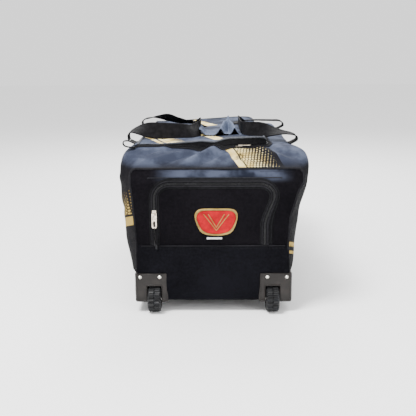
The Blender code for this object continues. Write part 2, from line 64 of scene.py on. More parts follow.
# ---------------------------------------------------------------- sizes, in metres
HALF_LENGTH, BASE_Z, TOP_Z, END_TOP_Z = 0.460, 0.034, 0.430, 0.388
SLOPE, BULGE_RUN, SEAM_Z = 0.118, 0.100, 0.1855
LID_LEFT, LID_RIGHT, LID_END, LID_CORNER = -0.2075, 0.150, 0.342, 0.045
POCKET_X, POCKET_HALF, POCKET_TOP, POCKET_FOOT, POCKET_CORNER = 0.004, 0.158, 0.350, 0.1885, 0.040
STRAP, STRAP_Y = 0.050, 0.200
HOUSING_IN, HOUSING_OUT, HOUSING_FRONT = 0.1205, 0.2095, -0.4645
HOUSING_BACK, HOUSING_LOW, HOUSING_TOP = -0.365, 0.0275, 0.112
WHEEL_X, WELL_HALF, WELL_TOP = 0.158, 0.0190, 0.0735
CLOTH, TAPE_CLOTH, LID_CLOTH = 0.0012, 0.0010, 0.0014  # thicknesses
BADGE_X, BADGE_POINTS = 0.008, 96
END_PANEL_TOP = END_TOP_Z - 0.0008
TOOTH_PITCH = 0.0026
UP, OUT = Vector((0, 0, 1)), Vector((0, -1, 0))  # out of the top and out of the wheel end


# ---------------------------------------------------------------- small tools
def smooth(low, high, value):
    share = min(max((value - low) / (high - low), 0.0), 1.0)
    return share * share * (3 - 2 * share)


def add(name, mesh, finish, body, slot=None, shade=True):
    made = bpy.data.objects.new(name, mesh)
    bpy.context.scene.collection.objects.link(made)
    mesh.materials.append(finish)
    if shade:
        mesh.shade_smooth()
    if body:
        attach(made, body)
    return made


def mesh_from(bm, name):
    mesh = bpy.data.meshes.new(name)
    bm.to_mesh(mesh)
    bm.free()
    return mesh


def sheet_mesh(name, across, along, point, keep=None, closed=False):
    """A grid mapped by point(u, v), u and v from 0 to 1. keep(u, v) says which points stay."""
    bm = bmesh.new()
    made = bmesh.ops.create_grid(bm, x_segments=across, y_segments=along, size=0.5)
    gone = []
    for vertex in made["verts"]:
        u, v = vertex.co.x + 0.5, vertex.co.y + 0.5
        if keep and not keep(u, v):
            gone.append(vertex)
            continue
        vertex.co = point(0.0 if closed and u > 0.9999 else u, v)
    if gone:
        bmesh.ops.delete(bm, geom=gone, context="VERTS")
    if closed:
        bmesh.ops.remove_doubles(bm, verts=bm.verts, dist=1e-6)
    bmesh.ops.recalc_face_normals(bm, faces=bm.faces)
    return mesh_from(bm, name)


def thicken(made, thickness, offset=-1.0):
    step = made.modifiers.new("Thickness", "SOLIDIFY")
    step.thickness = thickness
    step.offset = offset
    return made


def cloth(name, mesh, finish, body, slot, replaced=None, thickness=CLOTH):
    """A sheet made thick about its middle, in place of a node of the frame."""
    made = thicken(add(name, mesh, finish, body, slot), thickness, 0.0)
    if replaced:
        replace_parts(made, replaced)
    return made


def tube(name, points, radius, finish, body, slot=None, cyclic=False, resolution=3):
    curve = bpy.data.curves.new(name, "CURVE")
    curve.dimensions = "3D"
    curve.bevel_depth = radius
    curve.bevel_resolution = resolution
    curve.use_fill_caps = not cyclic
    spline = curve.splines.new("POLY")
    spline.points.add(len(points) - 1)
    for point, place_at in zip(spline.points, points):
        point.co = (*place_at, 1.0)
    spline.use_cyclic_u = cyclic
    guide = bpy.data.objects.new(name + "_line", curve)
    bpy.context.scene.collection.objects.link(guide)
    bpy.context.view_layer.update()
    mesh = bpy.data.meshes.new_from_object(guide.evaluated_get(bpy.context.evaluated_depsgraph_get()))
    bpy.data.objects.remove(guide)
    return add(name, mesh, finish, body, slot)


def resample(points, pitch):
    """Points at an even pitch along a polyline, each with its direction."""
    out, carried = [], 0.0
    for a, b in zip(points, points[1:]):
        length = (b - a).length
        if length < 1e-9:
            continue
        while carried <= length:
            out.append((a.lerp(b, carried / length), (b - a).normalized()))
            carried += pitch
        carried -= length
    return out


def bricks(name, places, size, finish, body, slot=None):
    """Many small blocks in one mesh: places hold (centre, along, up); size is along, across, up."""
    bm = bmesh.new()
    for centre, along, up in places:
        across = up.cross(along).normalized()
        top = along.cross(across).normalized()
        turn = Matrix((along, across, top)).transposed().to_4x4()
        made = bmesh.ops.create_cube(bm, size=1.0)
        bmesh.ops.scale(bm, vec=size, verts=made["verts"])
        bmesh.ops.transform(bm, matrix=Matrix.Translation(centre) @ turn, verts=made["verts"])
    return add(name, mesh_from(bm, name), finish, body, slot, shade=False)


def stitches(name, points, up, finish, body, slot=None, pitch=0.0042):
    """A row of sewing stitches along a line."""
    rows = [(p, d, up(p) if callable(up) else up) for p, d in resample(points, pitch)]
    return bricks(name, rows, (pitch * 0.66, 0.0007, 0.0006), finish, body, slot)


# ---------------------------------------------------------------- shader tools
class Wire:
    """A number in a node tree, so that a shader can be written as arithmetic."""

    def __init__(self, tree, socket):
        self.tree, self.socket = tree, socket

    def make(self, operation, *others, clamp=False):
        node = self.tree.nodes.new("ShaderNodeMath")
        node.operation = operation
        node.use_clamp = clamp
        for index, value in enumerate((self, *others)):
            if isinstance(value, Wire):
                self.tree.links.new(value.socket, node.inputs[index])
            else:
                node.inputs[index].default_value = value
        return Wire(self.tree, node.outputs[0])

    def __add__(self, other): return self.make("ADD", other)
    def __sub__(self, other): return self.make("SUBTRACT", other)
    def __mul__(self, other): return self.make("MULTIPLY", other)
    def __neg__(self): return self.make("MULTIPLY", -1.0)
    def __abs__(self): return self.make("ABSOLUTE")
    def over(self, edge): return self.make("GREATER_THAN", edge)
    def under(self, edge): return self.make("LESS_THAN", edge)
    def fract(self): return self.make("FRACT")
    def top(self, other): return self.make("MAXIMUM", other)

    def step(self, low, high, to_low=0.0, to_high=1.0):
        node = self.tree.nodes.new("ShaderNodeMapRange")
        node.interpolation_type = "SMOOTHSTEP"
        self.tree.links.new(self.socket, node.inputs[0])
        for index, value in enumerate((low, high, to_low, to_high), start=1):
            node.inputs[index].default_value = value
        return Wire(self.tree, node.outputs[0])


class Finish:
    """A Principled material whose sockets take arithmetic on the object's own coordinates."""

    def __init__(self, name, roughness=0.5, metallic=0.0):
        self.material = bpy.data.materials.new(name)
        self.material.use_nodes = True
        self.tree = self.material.node_tree
        self.shader = self.tree.nodes["Principled BSDF"]
        self.shader.inputs["Roughness"].default_value = roughness
        self.shader.inputs["Metallic"].default_value = metallic
        self.place = self.tree.nodes.new("ShaderNodeTexCoord").outputs["Object"]
        split = self.tree.nodes.new("ShaderNodeSeparateXYZ")
        self.tree.links.new(self.place, split.inputs[0])
        self.x, self.y, self.z = (Wire(self.tree, split.outputs[k]) for k in range(3))

    def noise(self, scale, detail=3.0, rough=0.55):
        node = self.tree.nodes.new("ShaderNodeTexNoise")
        node.inputs["Scale"].default_value = scale
        node.inputs["Detail"].default_value = detail
        node.inputs["Roughness"].default_value = rough
        self.tree.links.new(self.place, node.inputs["Vector"])
        return Wire(self.tree, node.outputs["Fac"])

    def mix(self, share, low, high):
        node = self.tree.nodes.new("ShaderNodeMix")
        node.data_type = "RGBA"
        self.tree.links.new(share.socket, node.inputs[0])
        for index, colour in ((6, low), (7, high)):
            if isinstance(colour, tuple):
                node.inputs[index].default_value = (*colour, 1.0)
            else:
                self.tree.links.new(colour, node.inputs[index])
        return node.outputs[2]

    def colour(self, socket):
        if isinstance(socket, tuple):
            self.shader.inputs["Base Color"].default_value = (*socket, 1.0)
        else:
            self.tree.links.new(socket, self.shader.inputs["Base Color"])

    def feed(self, name, wire):
        self.tree.links.new(wire.socket, self.shader.inputs[name])

    def bump(self, height, distance, strength=1.0):
        node = self.tree.nodes.new("ShaderNodeBump")
        node.inputs["Strength"].default_value = strength
        node.inputs["Distance"].default_value = distance
        self.tree.links.new(height.socket, node.inputs["Height"])
        self.tree.links.new(node.outputs[0], self.shader.inputs["Normal"])

    def weave(self, pitch):
        """Threads over and under, on whichever faces the cloth lies, from all three coordinates."""
        turns = 2 * pi / pitch
        waves = [(w * turns).make("SINE") for w in (self.x, self.y, self.z)]
        return waves[0] * waves[1] + waves[1] * waves[2] + waves[0] * waves[2]


GOLD = (0.52, 0.37, 0.11)
# Painted highlight: a lit copy of the gold, mixed into the print in noise patches.
GOLD_PAINTED_HIGHLIGHT = (0.86, 0.74, 0.40)
# Painted shade: a shaded copy of the gold, used for the print below z 0.36 on the upright faces.
GOLD_PAINTED_SHADE = (0.36, 0.25, 0.065)


def halftone(f, u, v, fade, stretch=(1.0, 1.0), pitch=0.0080):
    """Staggered dots on (u, v) whose size follows fade; stretch keeps them round where an axis is scaled."""
    found = None
    for shift in (0.0, 0.5):
        a = (u * (1 / pitch) + shift).fract() - 0.5
        b = (v * (1 / pitch) + shift).fract() - 0.5
        spread = a * a * stretch[0] + b * b * stretch[1]
        dot = (fade * fade * 0.11 + fade * 0.06 - spread).step(-0.006, 0.006)
        found = dot if found is None else found.top(dot)
    return found * fade.over(0.08)


def band(value, low, high):
    return value.over(low) * value.under(high)


def stripe(value, half, soft=0.0006):
    return (abs(value)).step(half + soft, half - soft)


def cloth_base(f, dark, light, rough, pitch=0.0011):
    cloud, grain = f.noise(7.0), f.noise(160.0, 2.0)
    share = (cloud * 0.55 + grain * 0.45).step(0.32, 0.68)
    f.feed("Roughness", share * 0.12 + (rough + 0.18))
    f.shader.inputs["Specular IOR Level"].default_value = 0.03
    height = f.weave(pitch) * 0.5 + f.noise(45.0, 4.0) * 1.6
    f.bump(height, 0.00035, 0.75)
    return f.mix(share, dark, light)


def make_body_cloth():
    """Coated near-black cloth with a painted blue-grey sheen on top, painted fold shade in that sheen, and a
    gold print.
    """
    f = Finish("body_cloth")
    dark = cloth_base(f, (0.0022, 0.0019, 0.0028), (0.0062, 0.0054, 0.0072), 0.42)
    # Painted sheen: the top faces get a painted blue-grey sheen with painted fold shade in dark noise
    # patches; up blends it over the near-black cloth by height.
    painted_light_tone = f.mix(f.noise(12.0, 4.0).step(0.40, 0.60), (0.028, 0.033, 0.052), (0.072, 0.085, 0.126))
    up = f.z.step(0.382, 0.408)
    ground = f.mix(up, dark, painted_light_tone)
    across = f.x - (f.y * -0.404 - 0.1002)
    front = f.y.under(-0.345) * f.z.over(0.386)
    solid = stripe(across, 0.0095)
    fade = across.step(0.120, 0.004) * across.over(0.0135)
    dots = halftone(f, across, f.y * 0.55, fade, (1.0, 2.6))
    top_print = solid.top(dots) * front
    side_line = f.z - (f.y * -0.32 + 0.1060)
    left = f.x.under(-0.2) * f.y.under(-0.33)
    fade = side_line.step(0.100, 0.004) * side_line.over(0.018)
    side_dots = halftone(f, (f.y + f.x) * 0.5, side_line, fade, (3.0, 1.0))
    side_print = stripe(side_line, 0.0120).top(side_dots) * left
    low_line = f.z - (f.y * -0.32 + 0.0410)
    right = f.x.over(0.195) * f.y.under(-0.36) * f.z.under(0.33)
    right_print = stripe(low_line, 0.006).top(stripe(low_line + 0.022, 0.004)) * right
    inked = top_print.top(side_print).top(right_print)
    printed = across.over(0.010) * across.under(0.112) * front
    ground = f.mix(printed, ground, (0.008, 0.008, 0.010))
    worn = f.noise(60.0, 5.0).step(0.30, 0.42)
    # Gold print with painted highlight patches.
    ink = f.mix(f.noise(20.0).step(0.35, 0.65), GOLD, GOLD_PAINTED_HIGHLIGHT)
    # Painted shade on the print of the upright faces below z 0.36.
    ink = f.mix(f.z.under(0.36), ink, GOLD_PAINTED_SHADE)
    f.colour(f.mix(inked * worn, ground, ink))
    return f.material


def make_lid_cloth():
    f = Finish("lid_cloth")
    cloth_base(f, (0.0, 0.0, 0.0), (0.0, 0.0, 0.0), 0.40)
    # The lid's colour is a painted blue-grey sheen on the near-black cloth, with painted fold shade in dark
    # noise patches.
    painted_light_tone = f.mix(f.noise(11.0, 4.0).step(0.40, 0.62), (0.026, 0.031, 0.049), (0.070, 0.083, 0.122))
    line = f.x - (f.y * -0.36 - 0.2531)
    two = stripe(line, 0.0065).top(stripe(line - 0.021, 0.0065)) * f.y.under(-0.13)
    dots = halftone(f, line, f.y, line.step(0.085, 0.030) * line.over(0.029)) * f.y.under(-0.16)
    patch_line = f.x - (f.y * -0.36 - 0.0762)
    patch = stripe(patch_line, 0.016) * band(f.y, -0.27, -0.09)
    far_line = f.x - (f.y * -0.36 + 0.048)
    far = stripe(far_line, 0.020) * f.y.over(0.14)
    inked = two.top(dots).top(patch).top(far) * f.noise(60.0, 5.0).step(0.28, 0.40)
    # Gold print with painted highlight patches.
    f.colour(f.mix(inked, painted_light_tone, f.mix(f.noise(20.0).step(0.35, 0.65), GOLD, GOLD_PAINTED_HIGHLIGHT)))
    return f.material


def make_end_cloth():
    """The cloth of the upright ends, with painted light towards its top edge, where it leans back into the
    light.
    """
    f = Finish("end_cloth")
    dark = cloth_base(f, (0.0020, 0.0017, 0.0026), (0.0058, 0.0050, 0.0066), 0.45)
    # Painted light: a paler blue-grey tone with painted fold shade in noise patches, blended in at the top
    # edge by lit.
    painted_light_tone = f.mix(f.noise(15.0).step(0.36, 0.62), (0.010, 0.012, 0.020), (0.055, 0.064, 0.095))
    lit = f.z.step(0.350, 0.372) * f.x.step(-0.17, -0.08) * f.x.step(0.22, 0.15)
    f.colour(f.mix(lit, dark, painted_light_tone))
    return f.material


def make_plain_cloth(name, dark, light, rough, pitch=0.0011):
    f = Finish(name)
    f.colour(cloth_base(f, dark, light, rough, pitch))
    return f.material


def make_webbing():
    """Narrow woven strap: a herringbone of thick threads."""
    f = Finish("webbing_weave")
    turns = 2 * pi / 0.0030
    slant = (f.y + f.x + f.z) * turns
    cross = (f.y - f.x + f.z) * turns
    height = slant.make("SINE") * 0.6 + cross.make("SINE") * 0.4 + f.noise(220.0, 2.0) * 0.8
    f.bump(height, 0.0006, 0.9)
    f.feed("Roughness", f.noise(30.0) * 0.3 + 0.50)
    f.shader.inputs["Specular IOR Level"].default_value = 0.10
    f.colour(f.mix(f.noise(90.0).step(0.3, 0.7), (0.0022, 0.0020, 0.0026), (0.0075, 0.0068, 0.0082)))
    return f.material


def make_plastic(name, dark, light, rough, grain=380.0):
    """Moulded plastic with a fine spark-eroded grain and rubbed patches."""
    f = Finish(name)
    rubbed = f.noise(26.0, 5.0).step(0.45, 0.75)
    f.colour(f.mix(rubbed, dark, light))
    f.feed("Roughness", rubbed * -0.12 + rough)
    f.shader.inputs["Specular IOR Level"].default_value = 0.3
    f.bump(f.noise(grain, 2.0) + rubbed * 0.6, 0.0003, 0.5)
    return f.material


def make_metal(name, colour, rough, tarnish=(0.30, 0.26, 0.20)):
    f = Finish(name, rough, 1.0)
    worn = f.noise(140.0, 4.0).step(0.42, 0.72)
    f.colour(f.mix(worn, colour, tarnish))
    f.feed("Roughness", worn * 0.2 + rough)
    f.bump(f.noise(300.0, 3.0), 0.0002, 0.4)
    return f.material


def make_rubber():
    f = Finish("tyre_rubber")
    dust = f.noise(55.0, 4.0).step(0.48, 0.78)
    f.shader.inputs["Specular IOR Level"].default_value = 0.25
    f.colour(f.mix(dust, (0.0025, 0.0025, 0.0032), (0.009, 0.010, 0.014)))
    f.feed("Roughness", dust * 0.25 + 0.48)
    f.bump(f.noise(260.0, 3.0) + dust * 0.5, 0.0004, 0.6)
    return f.material


def make_embroidery(name, dark, light, rough=0.45):
    """Satin stitch: fine close threads."""
    f = Finish(name)
    thread = ((f.x * 0.92 + f.z * 0.39) * (2 * pi / 0.0011)).make("SINE")
    f.bump(thread + f.noise(120.0) * 0.8, 0.0003, 0.7)
    f.shader.inputs["Roughness"].default_value = rough
    f.shader.inputs["Specular IOR Level"].default_value = 0.15
    f.colour(f.mix(f.noise(50.0, 4.0).step(0.3, 0.7), dark, light))
    return f.material


def make_materials():
    return {
        "body": make_body_cloth(),
        "lid": make_lid_cloth(),
        "end": make_end_cloth(),
        "kick": make_plain_cloth(
            "kick_cloth", (0.0018, 0.0017, 0.0026), (0.0052, 0.0052, 0.0074), 0.40, 0.0018
        ),
        "lining": make_plain_cloth("lining_cloth", (0.012, 0.012, 0.014), (0.028, 0.028, 0.032), 0.7),
        "wrap": make_plain_cloth("wrap_cloth", (0.045, 0.055, 0.090), (0.12, 0.145, 0.21), 0.45),
        "board": make_plain_cloth("board_sheet", (0.05, 0.045, 0.04), (0.09, 0.08, 0.07), 0.6),
        "pipe_light": make_plain_cloth(
            "piping_pale", (0.05, 0.053, 0.060), (0.10, 0.105, 0.12), 0.45, 0.0012
        ),
        "pipe_dark": make_plain_cloth(
            "piping_dark", (0.007, 0.0068, 0.008), (0.017, 0.0165, 0.019), 0.42, 0.0012
        ),
        "tape": make_plain_cloth(
            "zip_tape_cloth", (0.004, 0.004, 0.0045), (0.010, 0.010, 0.011), 0.6, 0.0014
        ),
        "teeth": make_plastic("zip_coil", (0.006, 0.006, 0.007), (0.018, 0.018, 0.020), 0.35, 500.0),
        "webbing": make_webbing(),
        "thread": make_plain_cloth(
            "sewing_thread", (0.010, 0.010, 0.012), (0.020, 0.020, 0.023), 0.6, 0.0008
        ),
        "metal": make_metal("zip_metal", (0.86, 0.76, 0.62), 0.24),
        "rivet": make_metal("rivet_metal", (0.90, 0.88, 0.80), 0.22, (0.5, 0.48, 0.42)),
        "steel": make_metal("axle_steel", (0.55, 0.55, 0.55), 0.3),
        "housing": make_plastic("housing_plastic", (0.008, 0.006, 0.005), (0.018, 0.014, 0.012), 0.46),
        "hub": make_plastic("hub_plastic", (0.012, 0.012, 0.013), (0.032, 0.032, 0.034), 0.42),
        "foot": make_plastic("foot_plastic", (0.012, 0.012, 0.013), (0.03, 0.03, 0.03), 0.5),
        "rubber": make_rubber(),
        "red": make_embroidery("badge_red_face", (0.30, 0.0, 0.004), (0.50, 0.0005, 0.010)),
        "gold": make_embroidery("badge_gold_edge", (0.22, 0.14, 0.035), (0.40, 0.28, 0.09), 0.35),
        "label": make_embroidery("label_white", (0.62, 0.62, 0.60), (0.85, 0.85, 0.83)),
    }


# ---------------------------------------------------------------- the form of the filled bag
RING = 240  # points round a cross-section
FOLDS = (  # (from, to, half width, height): ridges and hollows of the slack cloth
    ((0.014, -0.345, 0.430), (-0.085, -0.452, 0.392), 0.011, 0.0105),
    ((0.036, -0.350, 0.430), (-0.052, -0.455, 0.392), 0.013, -0.0090),
    ((-0.020, -0.345, 0.430), (-0.150, -0.440, 0.396), 0.013, -0.0080),
    ((-0.120, -0.345, 0.430), (-0.185, -0.430, 0.400), 0.010, 0.0040),
    ((0.120, -0.350, 0.430), (0.205, -0.430, 0.402), 0.012, 0.0075),
    ((-0.110, -0.360, 0.428), (-0.200, -0.400, 0.414), 0.010, -0.0060),
    ((-0.050, -0.360, 0.428), (-0.200, -0.445, 0.396), 0.009, 0.0050),
    ((0.040, -0.400, 0.412), (0.190, -0.450, 0.394), 0.010, -0.0045),
    ((0.150, -0.330, 0.430), (0.215, -0.400, 0.410), 0.011, -0.0050),
    ((0.175, -0.300, 0.430), (0.225, -0.380, 0.400), 0.010, 0.0050),
    ((0.236, -0.420, 0.380), (0.246, -0.300, 0.330), 0.012, -0.0055),
    ((0.236, -0.400, 0.350), (0.246, -0.250, 0.280), 0.014, 0.0050),
    ((-0.236, -0.430, 0.300), (-0.246, -0.280, 0.210), 0.013, -0.0050),
    ((-0.240, -0.420, 0.360), (-0.246, -0.250, 0.330), 0.012, 0.0045),
    ((-0.240, -0.100, 0.380), (-0.240, 0.150, 0.240), 0.016, -0.0050),
    ((0.240, -0.120, 0.380), (0.240, 0.100, 0.230), 0.016, -0.0050),
    ((0.240, 0.220, 0.360), (0.240, 0.400, 0.200), 0.014, 0.0050),
    ((-0.240, 0.240, 0.370), (-0.240, 0.400, 0.220), 0.014, 0.0050),
)
FOLD_LINES = [(Vector(a), Vector(b), w, h) for a, b, w, h in FOLDS]


def swell(y):
    inside = min(max((HALF_LENGTH - abs(y)) / BULGE_RUN, 0.0), 1.0)
    return 1 - (1 - inside) ** 2


def top_at(y):
    inside = min((HALF_LENGTH - abs(y)) / SLOPE, 1.0)
    return END_TOP_Z + (TOP_Z - END_TOP_Z) * (inside * 0.75 + smooth(0.0, 1.0, inside) * 0.25)


def fold_height(p):
    lumps = noise.noise(Vector((p.x * 5.0, p.y * 4.2, p.z * 5.5))) * 0.0060
    lumps += noise.noise(p * 13.0) * 0.0030 + noise.noise(p * 34.0) * 0.0009
    taut = smooth(0.30, 0.24, abs(p.y)) * smooth(0.18, 0.205, abs(p.x))  # where the handles pull on it
    lumps = lumps * (1 - 0.6 * taut) - 0.001 * taut
    for a, b, width, height in FOLD_LINES:
        along = b - a
        share = (p - a).dot(along) / along.length_squared
        if not -0.15 < share < 1.15:
            continue
        away = (p - a - along * min(max(share, 0.0), 1.0)).length
        if away < width * 3:
            lumps += height * exp(-(away / width) ** 2) * smooth(-0.15, 0.2, share) * smooth(1.15, 0.8, share)
    return lumps * smooth(0.0, 0.035, HALF_LENGTH - abs(p.y))


# Half width at the end seams, how far it swells between them, and the height. Heights near the top
# are given as BELOW less the distance down from the top, which slopes.
BELOW = 10
SIDE_FORM = {
    -1: (
        (0.196, 0, BASE_Z), (0.203, 0, 0.044), (0.204, 0.018, 0.110), (0.204, 0.036, 0.185),
        (0.208, 0.040, 0.260), (0.214, 0.036, 0.330), (0.217, 0.031, 9.965), (0.2165, 0.018, 9.988),
        (0.210, 0.010, 9.998), (0.198, 0, BELOW),
    ),
    1: (
        (0.196, 0, BASE_Z), (0.202, 0, 0.044), (0.202, 0.014, 0.110), (0.198, 0.027, 0.185),
        (0.202, 0.032, 0.260), (0.222, 0.032, 0.330), (0.236, 0.025, 9.965), (0.236, 0.017, 9.988),
        (0.227, 0.009, 9.998), (0.212, 0, BELOW),
    ),
}
EVEN_FORM = (  # the same for the rest of the bag, which is alike on both sides
    (0.196, 0, BASE_Z), (0.203, 0, 0.044), (0.205, 0.010, 0.110), (0.207, 0.020, 0.185),
    (0.211, 0.025, 0.260), (0.216, 0.024, 0.330), (0.220, 0.018, 9.965), (0.219, 0.010, 9.988),
    (0.210, 0.006, 9.998), (0.200, 0, BELOW),
)


def half_rows(y, side):
    """Half widths and heights up one side, slack near the wheel end and even beyond it."""
    s, top, near = swell(y), top_at(y), smooth(-0.22, -0.34, y)
    out = []
    for (x, more, z), (even, even_more, _) in zip(SIDE_FORM[side], EVEN_FORM):
        wide = (x + more * s) * near + (even + even_more * s) * (1 - near)
        out.append((wide, z if z < 1 else top + z - BELOW))
    return out


def half_outline(y, side):
    """One half of a cross-section, from the middle of the base to the middle of the top."""
    rows = [(0.0, BASE_Z)] + half_rows(y, side) + [(0.0, top_at(y))]
    return [Vector((side * x, 0.0, z)) for x, z in rows]


RINGS = {}


def ring_at(y):
    """Evenly spaced points round the section, smoothed, with their outward directions."""
    key = round(y, 5)
    if key in RINGS:
        return RINGS[key]
    loop = half_outline(y, 1) + half_outline(y, -1)[::-1][1:]
    total = sum((b - a).length for a, b in zip(loop, loop[1:]))
    points = [p for p, _ in resample(loop, total / RING * 0.999999)][:RING]
    while len(points) < RING:
        points.append(points[-1].lerp(points[0], 0.5))
    for _ in range(3):
        points = [(points[k - 1] + points[k] * 2 + points[(k + 1) % RING]) / 4 for k in range(RING)]
    out = []
    for k, p in enumerate(points):
        run = points[(k + 1) % RING] - points[k - 1]
        outward = Vector((run.z, 0.0, -run.x)).normalized()
        place_at = Vector((p.x, y, p.z))
        lift = fold_height(place_at)
        if p.z < 0.05:
            lift *= 0.1
        out.append(place_at + outward * lift)
    RINGS[key] = out
    return out


def on_shell(turn, y):
    ring = ring_at(y)
    spot = turn % 1.0 * RING
    k = int(spot)
    return ring[k % RING].lerp(ring[(k + 1) % RING], spot - k)


def skin_top(x, y):
    """Height of the cloth on top of the bag."""
    p = Vector((x, y, top_at(y)))
    return p.z + fold_height(p)


def lid_height(x, y):
    """Height of the lid, which stands up most at its near right corner."""
    near = 0.35 + 0.65 * smooth(-0.285, -0.340, y)
    far = 0.35 + 0.65 * smooth(0.285, 0.340, y) * 0.5
    rise = 0.0215 * smooth(-0.20, 0.13, x) * max(near, far)
    lumps = noise.noise(Vector((x * 9, y * 7, 3.1))) * 0.0042
    lumps += noise.noise(Vector((x * 26, y * 20, 5.3))) * 0.0016
    inner = smooth(0.0, 0.035, LID_END - abs(y)) * smooth(0.0, 0.03, x - LID_LEFT)
    dip = -0.0065 * exp(-((x - 0.003) / 0.022) ** 2 - ((y + LID_END) / 0.03) ** 2)
    return TOP_Z + 0.0045 + rise + lumps * (0.35 + 0.65 * inner) + dip


def lid_reach(y, grow):
    """How far right the lid goes at y: straight, with round corners."""
    corner, end = LID_CORNER + grow, LID_END + grow
    over = abs(y) - (end - corner)
    if over <= 0:
        return LID_RIGHT + grow
    return LID_RIGHT + grow - corner + sqrt(max(corner * corner - over * over, 0.0))


def lid_path(grow, left=LID_LEFT, pitch=0.004):
    """The line of the lid zip from the near left to the far left, offset outwards by grow."""
    end, right, corner = LID_END + grow, LID_RIGHT + grow, LID_CORNER + grow
    points = [Vector((left, -end, 0.0))]
    for start, middle_y in ((-pi / 2, -end + corner), (0.0, end - corner)):
        for k in range(17):
            turn = start + k / 16 * pi / 2
            points.append(Vector((right - corner + corner * cos(turn), middle_y + corner * sin(turn), 0.0)))
    points.append(Vector((left, end, 0.0)))
    return [p for p, _ in resample(points, pitch)]


def pocket_reach(z, grow):
    corner, top = POCKET_CORNER + grow, POCKET_TOP + grow
    over = z - (top - corner)
    if over <= 0:
        return POCKET_HALF + grow
    return POCKET_HALF + grow - corner + sqrt(max(corner * corner - over * over, 0.0))


def pocket_path(grow, pitch=0.004):
    """The line of the pocket zip, from the lower left over the top to the lower right."""
    half, top, corner = POCKET_HALF + grow, POCKET_TOP + grow, POCKET_CORNER + grow
    points = [Vector((POCKET_X - half, 0.0, POCKET_FOOT - 0.002))]
    for start, side in ((pi, -1), (pi / 2, 1)):
        for k in range(17):
            turn = start - k / 16 * pi / 2
            across = POCKET_X + side * (half - corner) + corner * cos(turn)
            points.append(Vector((across, 0.0, top - corner + corner * sin(turn))))
    points.append(Vector((POCKET_X + half, 0.0, POCKET_FOOT - 0.002)))
    return [p for p, _ in resample(points, pitch)]


def end_face(x, z):
    """Y of the cloth at the wheel end: nearly flat at the zip and the seams, fuller in the pocket."""
    u, v = (x - POCKET_X) / 0.150, (z - 0.2725) / 0.0835
    full = 0.0
    if abs(u) < 1 and abs(v) < 1:
        full = 0.0085 * (1 - u ** 4) * (1 - v ** 2) ** 0.8
        full += (noise.noise(Vector((x * 14, 1.7, z * 16))) * 0.0035
                 + noise.noise(Vector((x * 37, 4.1, z * 30))) * 0.0010) * (1 - u * u) * (1 - v * v) * 2
    if z < SEAM_Z:
        low = smooth(0.034, 0.08, z) * smooth(SEAM_Z, 0.15, z)
        full = 0.0035 * low + noise.noise(Vector((x * 12, 2.2, z * 18))) * 0.0022 * low
    slack = noise.noise(Vector((x * 20, 7.7, z * 22))) * 0.0006
    return -HALF_LENGTH - 0.0004 - max(full, 0.0) - abs(slack)


# ---------------------------------------------------------------- cloth pieces
def make_shell(m):
    def kept(u, v):
        p = on_shell(u, -HALF_LENGTH + 2 * HALF_LENGTH * v)
        if p.z > 0.36 and p.x > -0.2125 and abs(p.y) < LID_END + 0.005 and p.x < lid_reach(p.y, 0.005):
            return False
        inside_housing = abs(p.x) > HOUSING_IN + 0.005 and p.y < HOUSING_BACK - 0.005
        return not (inside_housing and p.z < HOUSING_TOP - 0.005)

    mesh = sheet_mesh(
        "body_shell", RING, 200, lambda u, v: on_shell(u, -HALF_LENGTH + 2 * HALF_LENGTH * v), kept,
        closed=True,
    )
    shell = add("body_shell", mesh, m["body"], "root", "side_fabric")
    thicken(shell, 0.0014, 1.0 if shell_faces_in(mesh) else -1.0)
    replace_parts(shell, "side_panel_left", "side_panel_right", "top_surround", "bottom_panel")
    return shell


def shell_faces_in(mesh):
    """True if the normals of a tube along Y point to its inside."""
    vote = sum(face.normal.dot(Vector((face.center.x, 0.0, face.center.z - 0.23))) for face in mesh.polygons)
    return vote < 0


def end_half(z, side, y=-HALF_LENGTH):
    """Where the edge of an end panel is at a height, on one side."""
    rows = half_rows(y, side)
    for (x0, z0), (x1, z1) in zip(rows, rows[1:]):
        if z <= z1:
            return side * (x0 + (x1 - x0) * max(z - z0, 0.0) / (z1 - z0) - 0.0012)
    return side * rows[-1][0]


def across_end(u, z, y=-HALF_LENGTH):
    left, right = end_half(z, -1, y), end_half(z, 1, y)
    return left + (right - left) * u


def make_end_panels(m):
    def upper(u, v):
        z = SEAM_Z + (END_PANEL_TOP - SEAM_Z) * v
        x = across_end(u, z)
        return Vector((x, end_face(x, z), z))

    def in_pocket(u, v):
        p = upper(u, v)
        return not (p.z < POCKET_TOP + 0.004 and abs(p.x - POCKET_X) < pocket_reach(p.z, 0.004))

    mesh = sheet_mesh("wheel_end_cloth", 130, 64, upper, in_pocket)
    cloth("wheel_end_cloth", mesh, m["end"], "root", "side_fabric", "wheel_end_panel")

    def lower(u, v):
        z = BASE_Z + (SEAM_Z - BASE_Z) * v
        x = across_end(u, z)
        return Vector((x, end_face(x, z), z))

    def off_housing(u, v):
        p = lower(u, v)
        return not (abs(p.x) > HOUSING_IN + 0.005 and p.z < HOUSING_TOP - 0.005)

    mesh = sheet_mesh("kick_cloth_panel", 120, 44, lower, off_housing)
    cloth("kick_cloth_panel", mesh, m["kick"], "root", "kick_fabric", "wheel_end_kick_panel")

    def far(u, v):
        z = BASE_Z + (END_PANEL_TOP - BASE_Z) * v
        x = across_end(u, z, HALF_LENGTH)
        full = 0.007 * (1 - (2 * u - 1) ** 4) * (1 - (2 * v - 1) ** 4)
        full *= smooth(0.090, 0.15, abs(x)) * 0.9 + 0.1
        return Vector((x, HALF_LENGTH + full + abs(noise.noise(Vector((x * 16, 9.1, z * 14)))) * 0.0009, z))

    mesh = sheet_mesh("far_end_cloth", 90, 70, far)
    cloth("far_end_cloth", mesh, m["end"], "root", "side_fabric", "far_end_panel")


